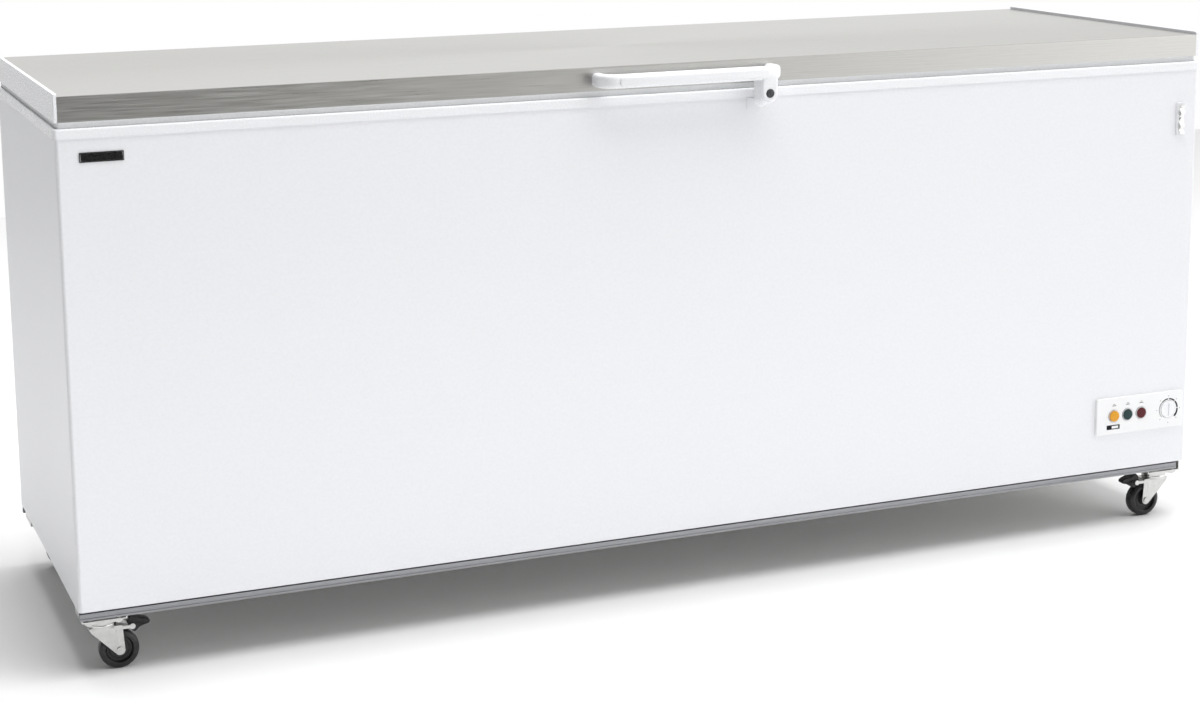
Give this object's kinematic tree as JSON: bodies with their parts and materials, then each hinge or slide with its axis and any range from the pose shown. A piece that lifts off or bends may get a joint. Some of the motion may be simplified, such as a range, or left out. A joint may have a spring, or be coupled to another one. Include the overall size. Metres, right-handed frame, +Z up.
{
  "type": "chest freezer",
  "caption": "Long white chest freezer with a hinged steel-topped lid, locking bar handle, front control panel and swivel castors with brakes.",
  "frame": {"origin": "on the floor, under the middle of the closed freezer's bounding box", "axes": "+X to the right along the front, +Y from the front to the back, +Z up"},
  "size_m": [2.054, 0.685, 0.9132],
  "materials": {
    "coated_steel": "gloss",
    "stainless_steel": "satin",
    "zinc_steel": "satin",
    "tank_aluminium": "satin",
    "rigid_foam": "matte",
    "white_plastic": "gloss",
    "soft_seal": "matte",
    "drain_rubber": "matte",
    "black_plastic": "satin",
    "wheel_plastic": "satin",
    "green_lens": "gloss",
    "red_lens": "gloss",
    "amber_lens": "gloss",
    "chrome": "polished",
    "copper_tube": "satin",
    "coil_tube": "satin",
    "black_enamel": "satin",
    "black_rubber": "matte"
  },
  "bodies": {
    "cabinet": {"outer_wrap": "coated_steel", "back_panel": "coated_steel", "lock_keeper": "coated_steel", "bottom_pan": "zinc_steel", "base_rails": "zinc_steel", "bay_cover": "zinc_steel", "castor_brackets": "zinc_steel", "castor_plates": "zinc_steel", "castor_bolts": "zinc_steel", "hinge_leaves": "zinc_steel", "hinge_pins": "zinc_steel", "inner_liner": "tank_aluminium", "insulation_foam": "rigid_foam", "top_rim": "white_plastic", "control_panel": "white_plastic", "clip_plate": "white_plastic", "drain_spout": "drain_rubber", "badge_plate": "black_plastic", "cable_gland": "black_plastic", "relay_box": "black_plastic", "switch_body": "black_plastic", "thermostat": "black_plastic", "lamp_green": "green_lens", "lamp_red": "red_lens", "wave_clip": "chrome", "cabinet_screws": "chrome", "refrigerant_pipes": "copper_tube", "filter_drier": "copper_tube", "evaporator_coil": "coil_tube", "condenser_coil": "coil_tube", "compressor": "black_enamel", "compressor_grommets": "black_rubber"},
    "lid": {"lid_skin": "stainless_steel", "end_cap_left": "white_plastic", "end_cap_right": "white_plastic", "lid_foam": "rigid_foam", "lid_liner": "white_plastic", "lid_gasket": "soft_seal", "handle_body": "white_plastic", "handle_cover": "white_plastic", "hinge_arms": "zinc_steel"},
    "lock": {"lock_barrel": "chrome", "lock_cam": "chrome"},
    "thermostat_dial": {"thermostat_knob": "white_plastic"},
    "freeze_button": {"freeze_switch": "amber_lens"},
    "drain_stopper": {"drain_plug": "drain_rubber"},
    "front_left_fork": {"fork_front_left": "zinc_steel", "axle_front_left": "zinc_steel"},
    "front_left_wheel": {"wheel_front_left": "wheel_plastic"},
    "front_left_pedal": {"pedal_front_left": "black_plastic"},
    "front_right_fork": {"fork_front_right": "zinc_steel", "axle_front_right": "zinc_steel"},
    "front_right_wheel": {"wheel_front_right": "wheel_plastic"},
    "front_right_pedal": {"pedal_front_right": "black_plastic"},
    "rear_left_fork": {"fork_rear_left": "zinc_steel", "axle_rear_left": "zinc_steel"},
    "rear_left_wheel": {"wheel_rear_left": "wheel_plastic"},
    "rear_right_fork": {"fork_rear_right": "zinc_steel", "axle_rear_right": "zinc_steel"},
    "rear_right_wheel": {"wheel_rear_right": "wheel_plastic"}
  },
  "joints": [
    {"name": "lid_hinge", "type": "hinge", "parent": "cabinet", "child": "lid", "pos_m": [0, 0.3365, 0.874], "axis": [-1, 0, 0], "range_deg": [0, 85], "stiffness_Nm_per_rad": 18, "springref_deg": 120.32},
    {"name": "lock_turn", "type": "hinge", "parent": "lid", "child": "lock", "pos_m": [0.135, -0.3105, 0.855], "axis": [0, 1, 0], "range_deg": [0, 90]},
    {"name": "thermostat_turn", "type": "hinge", "parent": "cabinet", "child": "thermostat_dial", "pos_m": [0.9806, -0.2985, 0.2132], "axis": [0, 1, 0], "range_deg": [0, 270]},
    {"name": "freeze_press", "type": "slide", "parent": "cabinet", "child": "freeze_button", "axis": [0, 1, 0], "range_m": [0, 0.002], "stiffness_N_per_m": 800},
    {"name": "drain_plug_lift", "type": "slide", "parent": "cabinet", "child": "drain_stopper", "axis": [0, 0, 1], "range_m": [0, 0.04]},
    {"name": "front_left_swivel", "type": "hinge", "parent": "cabinet", "child": "front_left_fork", "pos_m": [-0.985, -0.2555, 0.08], "axis": [0, 0, 1], "continuous": true},
    {"name": "front_left_roll", "type": "hinge", "parent": "front_left_fork", "child": "front_left_wheel", "pos_m": [-0.9605, -0.2555, 0.0315], "axis": [0, 1, 0], "continuous": true},
    {"name": "front_left_brake", "type": "hinge", "parent": "front_left_fork", "child": "front_left_pedal", "pos_m": [-0.9397, -0.2555, 0.0675], "axis": [0, 1, 0], "range_deg": [0, 18]},
    {"name": "front_right_swivel", "type": "hinge", "parent": "cabinet", "child": "front_right_fork", "pos_m": [0.985, -0.2555, 0.08], "axis": [0, 0, 1], "continuous": true},
    {"name": "front_right_roll", "type": "hinge", "parent": "front_right_fork", "child": "front_right_wheel", "pos_m": [0.9605, -0.2555, 0.0315], "axis": [0, 1, 0], "continuous": true},
    {"name": "front_right_brake", "type": "hinge", "parent": "front_right_fork", "child": "front_right_pedal", "pos_m": [0.9397, -0.2555, 0.0675], "axis": [0, -1, 0], "range_deg": [0, 18]},
    {"name": "rear_left_swivel", "type": "hinge", "parent": "cabinet", "child": "rear_left_fork", "pos_m": [-0.985, 0.2765, 0.08], "axis": [0, 0, 1], "continuous": true},
    {"name": "rear_left_roll", "type": "hinge", "parent": "rear_left_fork", "child": "rear_left_wheel", "pos_m": [-0.9605, 0.2765, 0.0315], "axis": [0, 1, 0], "continuous": true},
    {"name": "rear_right_swivel", "type": "hinge", "parent": "cabinet", "child": "rear_right_fork", "pos_m": [0.985, 0.2765, 0.08], "axis": [0, 0, 1], "continuous": true},
    {"name": "rear_right_roll", "type": "hinge", "parent": "rear_right_fork", "child": "rear_right_wheel", "pos_m": [0.9605, 0.2765, 0.0315], "axis": [0, 1, 0], "continuous": true}
  ]
}
